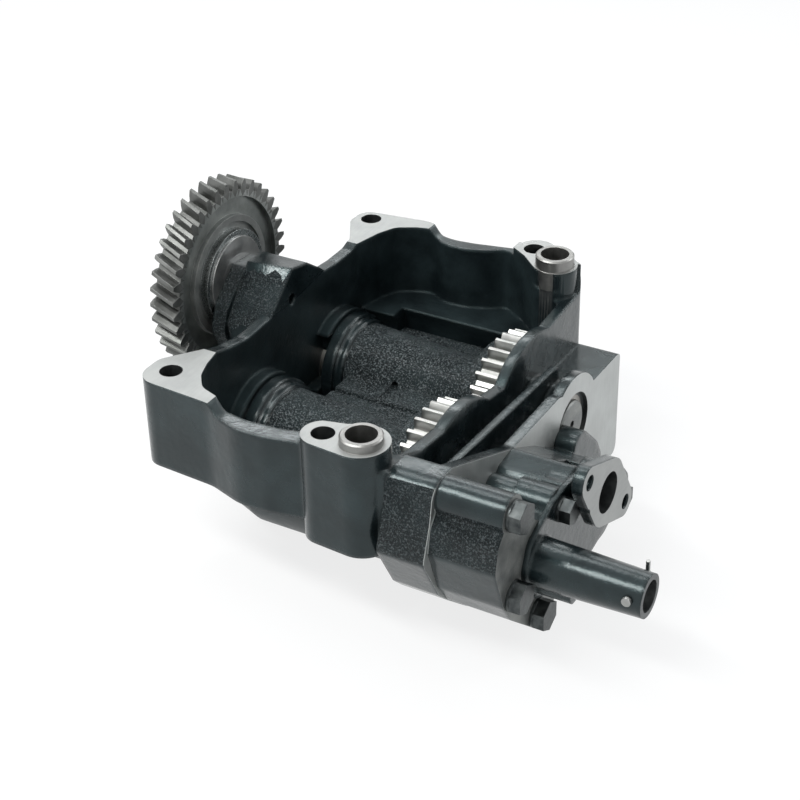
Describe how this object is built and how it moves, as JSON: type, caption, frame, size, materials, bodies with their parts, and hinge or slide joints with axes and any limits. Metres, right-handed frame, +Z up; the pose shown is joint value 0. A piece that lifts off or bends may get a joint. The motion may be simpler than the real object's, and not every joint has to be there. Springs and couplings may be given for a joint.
{
  "type": "engine balancer",
  "caption": "Open-topped cast housing with contra-rotating weighted balance shafts, timing gears, a helical drive gear and a rear gear oil pump with relief valve.",
  "frame": {"origin": "midway between the two front mounting bolt holes, in the plane of the machined mounting pads", "axes": "+X along the shafts from the drive gear towards the oil pump, +Y across the shafts towards the far shaft, +Z up out of the mounting pads"},
  "size_m": [0.3408, 0.2653, 0.1835],
  "materials": {
    "black_painted_casting": "gloss black paint over a sand-cast surface, machined faces bare",
    "shaft_casting": "dark rough casting with ground journals",
    "bright_gear_steel": "bright machined steel",
    "dark_gear_steel": "dark hardened steel, satin",
    "machined_steel": "turned steel",
    "dark_fastener": "blackened steel",
    "bearing_bronze": "plain bearing bronze"
  },
  "bodies": {
    "housing_group": {"housing": "black_painted_casting", "ring_dowel_near": "bright_gear_steel", "ring_dowel_far": "bright_gear_steel", "front_bush_near": "bearing_bronze", "rear_bush_near": "bearing_bronze", "thrust_washer_near": "machined_steel", "front_bush_far": "bearing_bronze", "rear_bush_far": "bearing_bronze", "thrust_washer_far": "machined_steel", "gear_spindle": "machined_steel", "spindle_washer": "machined_steel", "spindle_bolt": "dark_fastener", "hub_thrust_ring": "machined_steel", "pump_body": "black_painted_casting", "pump_cover": "black_painted_casting", "pump_idler_spindle": "machined_steel", "pump_bolts": "dark_fastener", "cover_bolts": "dark_fastener", "relief_cap": "machined_steel", "relief_split_pin": "dark_fastener", "relief_spring": "machined_steel"},
    "drive_gear_group": {"drive_gear": "dark_gear_steel", "gear_bush": "bearing_bronze"},
    "far_shaft_group": {"far_balance_shaft": "shaft_casting", "far_timing_gear": "bright_gear_steel", "drive_pinion": "dark_gear_steel", "pinion_washer": "machined_steel", "pinion_bolt": "dark_fastener"},
    "near_shaft_group": {"near_balance_shaft": "shaft_casting", "near_timing_gear": "bright_gear_steel", "pump_drive_gear": "machined_steel"},
    "pump_driven_group": {"pump_driven_gear": "machined_steel"},
    "relief_plunger_group": {"relief_plunger": "machined_steel"}
  },
  "joints": [
    {"name": "far_shaft_spin", "type": "hinge", "parent": "housing_group", "child": "far_shaft_group", "pos_m": [0.08, 0.044, -0.068], "axis": [1, 0, 0], "continuous": true},
    {"name": "near_shaft_spin", "type": "hinge", "parent": "housing_group", "child": "near_shaft_group", "pos_m": [0.08, -0.044, -0.068], "axis": [1, 0, 0], "continuous": true},
    {"name": "drive_gear_spin", "type": "hinge", "parent": "housing_group", "child": "drive_gear_group", "pos_m": [-0.04, 0, 0.00113], "axis": [1, 0, 0], "continuous": true},
    {"name": "pump_driven_spin", "type": "hinge", "parent": "housing_group", "child": "pump_driven_group", "pos_m": [0.188, -0.0825, -0.068], "axis": [1, 0, 0], "continuous": true},
    {"name": "relief_plunger_lift", "type": "slide", "parent": "housing_group", "child": "relief_plunger_group", "axis": [1, 0, 0], "range_m": [0, 0.008], "stiffness_N_per_m": 4000, "springref_m": -0.01, "deforming": ["relief_spring"]}
  ],
  "couplings": [
    {"joint": "near_shaft_spin", "follows": "far_shaft_spin", "ratio": -1},
    {"joint": "drive_gear_spin", "follows": "far_shaft_spin", "ratio": -0.47368},
    {"joint": "pump_driven_spin", "follows": "far_shaft_spin", "ratio": 1}
  ]
}
